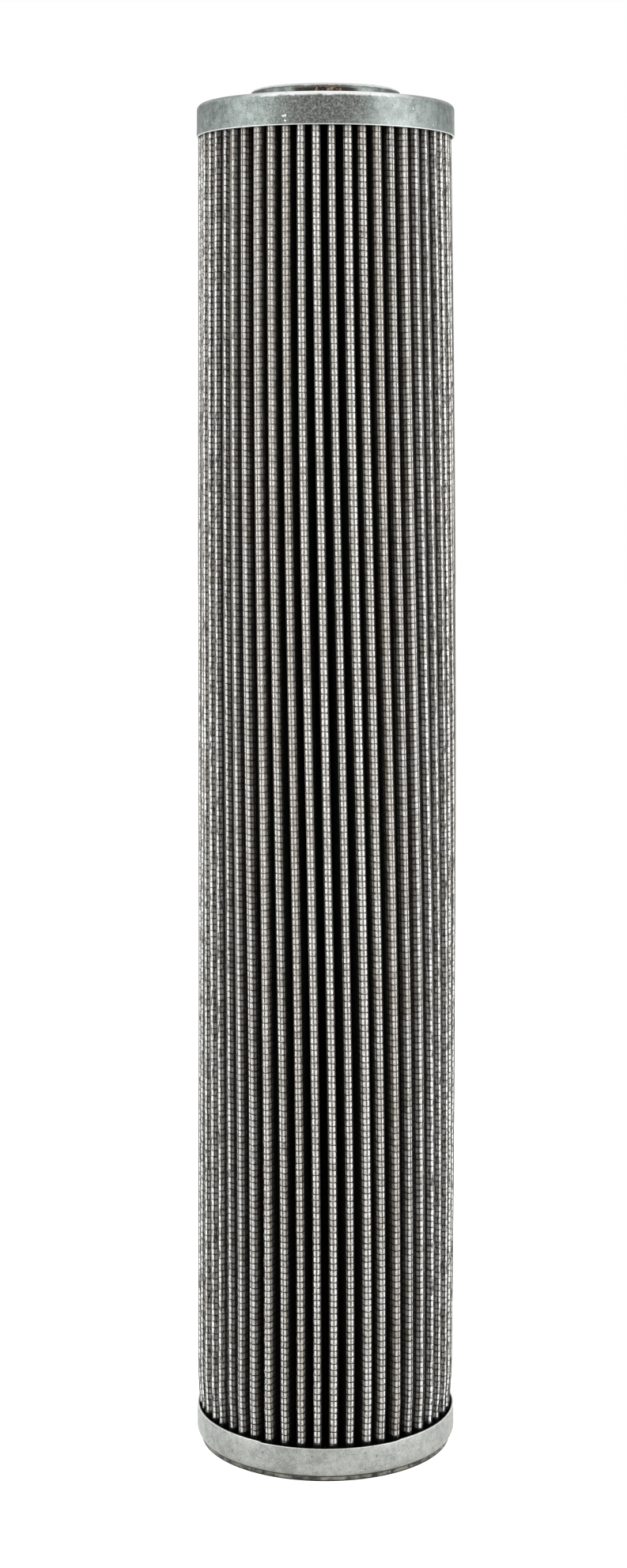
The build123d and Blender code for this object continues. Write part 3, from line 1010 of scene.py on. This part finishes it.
def open_cap_wear(radius, angle, height):
    """The open cap's slightly uneven wall, and the small ding in its front."""
    waves = 0.04 * MM * np.sin(3 * angle + 0.6) + 0.02 * MM * np.sin(7 * angle)
    on_wall = np.clip((radius - 38 * MM) / (0.4 * MM), 0, 1)
    radius = radius + waves * on_wall
    along_wall = turned_from(angle, DING_ANGLE) * radius
    from_ding = np.hypot(along_wall, height - DING_Z) / DING_REACH
    return radius - DING_DEPTH * np.exp(-from_ding**2), height


def closed_cap_wear(radius, angle, height):
    """The closed cap's rim, which dips across the front."""
    degrees = np.degrees(turned_from(angle, -math.pi / 2))
    beyond = np.clip((np.abs(degrees - DIP_MIDDLE) - DIP_HALF) / DIP_END, 0, 1)
    on_rim = np.clip((height - 8 * MM) / (2 * MM), 0, 1)
    return radius, height - RIM_DIP * (1 - beyond) * on_rim


def add(piece, slot, *nodes):
    """Hangs a new piece on the body and hides the nodes it stands for; slot, its finish, is not used."""
    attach(piece, BODY)
    if nodes:
        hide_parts(*nodes)


def dress(node, material):
    """Gives a shown CAD node its finish."""
    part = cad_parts[node]
    part.data.materials.clear()
    part.data.materials.append(material)


zinc_top = zinc("zinc_open_cap", *OPEN_CAP_ZINC, open_cap_marks_and_light)
zinc_bottom = zinc("zinc_closed_cap", *CLOSED_CAP_ZINC, closed_cap_marks_and_light)
weft_wire = wire_material("weft_wire", *WEFT_TONES, 0.45)
warp_wire = wire_material("warp_wire", *WARP_TONES, 0.0)

under_medium = CLOTH_THICKNESS + MEDIUM_THICKNESS
add(folded_sheet("medium_folds", MEDIUM_DEPTH, under_medium, MEDIUM_ROWS, medium_material()),
    "fibre_medium", "filter_medium")
add(folded_sheet("inner_cloth_folds", under_medium, SHEET_THICKNESS, CLOTH_ROWS, inner_cloth_material()),
    "wire_cloth", "inner_mesh")

weft_levels = np.arange(FIRST_WEFT, PACK_HIGH, WEFT_PITCH)
for part, levels in enumerate(np.array_split(weft_levels, WEFT_PIECES), 1):
    add(wire_rings(f"outer_cloth_weft_{part}", levels, weft_wire), "wire_cloth", "outer_mesh")
add(warp_wires("outer_cloth_warp", CLOTH_ROWS, warp_wire), "wire_cloth", "outer_mesh")

add(lathe("open_cap_pressing", open_cap_section(), zinc_top, CAP_SEGMENTS, open_cap_wear),
    "zinc_plated_steel", "end_cap_open")
add(lathe("closed_cap_pressing", closed_cap_section(), zinc_bottom, CAP_SEGMENTS, closed_cap_wear),
    "zinc_plated_steel", "end_cap_closed")
add(lathe("seal_ring", seal_section(), rubber_material(), SEAL_SEGMENTS), "seal_rubber", "o_ring")

dress("core_tube", core_material())
adhesive = adhesive_material()
dress("adhesive_bed_open", adhesive)
dress("adhesive_bed_closed", adhesive)


# ---------------------------------------------------------------- stage, light and camera

def sees_studio(nodes):
    """1 for the rays that should see the white surroundings, 0 for those that light the object."""
    path = nodes.add("ShaderNodeLightPath").outputs
    mirrored = nodes.largest(path["Is Glossy Ray"], path["Is Transmission Ray"])
    return nodes.largest(path["Is Camera Ray"], mirrored)


def make_world():
    """White to the camera, and a room that is dim in front, bright at the sides and above."""
    world = bpy.data.worlds.new("studio")
    world.use_nodes = True
    world.node_tree.nodes.clear()
    nodes = Nodes(world.node_tree)
    _, y, z = axes(nodes, nodes.add("ShaderNodeTexCoord").outputs["Generated"])
    in_front = nodes.fade(nodes.times(y, -1), 0.35, 0.95)
    above = nodes.fade(z, 0.3, 0.65)
    level = nodes.between(in_front, ROOM_SIDES, ROOM_FRONT)
    room = nodes.plus(level, nodes.times(above, ROOM_ABOVE - ROOM_SIDES))
    seen = sees_studio(nodes)
    strength = nodes.plus(seen, nodes.times(nodes.minus(1.0, seen), room))
    background = nodes.add("ShaderNodeBackground", Color=(1, 1, 1, 1), Strength=strength)
    output = nodes.add("ShaderNodeOutputWorld")
    nodes.set(output.inputs["Surface"], background.outputs[0])
    bpy.context.scene.world = world


def make_floor():
    """Pale floor that keeps the object's shadow."""
    corners = [(x * FLOOR_HALF, y * FLOOR_HALF, 0) for x, y in ((-1, -1), (1, -1), (1, 1), (-1, 1))]
    material, nodes = new_material("pale_floor")
    grain = nodes.noise(object_place(nodes), 40, 2, 0.5)
    nodes.finish(
        Base_Color=nodes.ramp(grain, [(0.0, (0.80, 0.80, 0.80)), (1.0, (0.82, 0.82, 0.82))]),
        Roughness=0.9,
        Emission_Color=(1, 1, 1, 1),
        Emission_Strength=nodes.times(sees_studio(nodes), 0.7),
        Specular_IOR_Level=0.0,
    )
    floor = mesh_object("floor", corners, [[0, 1, 2, 3]], material, smooth=False)


def soft_box(name, place, power):
    """A rectangular lamp at a place, facing the object."""
    lamp = bpy.data.lights.new(name, "AREA")
    lamp.shape = "RECTANGLE"
    lamp.size = BOX_WIDTH
    lamp.size_y = BOX_HEIGHT
    lamp.energy = power
    holder = bpy.data.objects.new(name, lamp)
    holder.location = place
    direction = Vector(BOX_TARGET) - Vector(place)
    holder.rotation_euler = direction.to_track_quat("-Z", "Y").to_euler()
    bpy.context.scene.collection.objects.link(holder)


def make_camera():
    """Level camera at the photograph's distance, height and framing."""
    camera = bpy.data.cameras.new("camera")
    camera.lens = SENSOR_MM * FOCAL_PX / IMAGE_HEIGHT_PX
    camera.shift_x = SHIFT_X_PX / IMAGE_HEIGHT_PX
    camera.shift_y = SHIFT_Y_PX / IMAGE_HEIGHT_PX
    camera.clip_start = 0.01
    holder = bpy.data.objects.new("camera", camera)
    holder.location = CAMERA_PLACE
    holder.rotation_euler = (math.radians(90), 0, 0)
    bpy.context.scene.collection.objects.link(holder)
    bpy.context.scene.camera = holder


make_world()
make_floor()
for name, place, power in SOFT_BOXES:
    soft_box(name, place, power)
make_camera()
bpy.context.scene.view_settings.view_transform = "Standard"
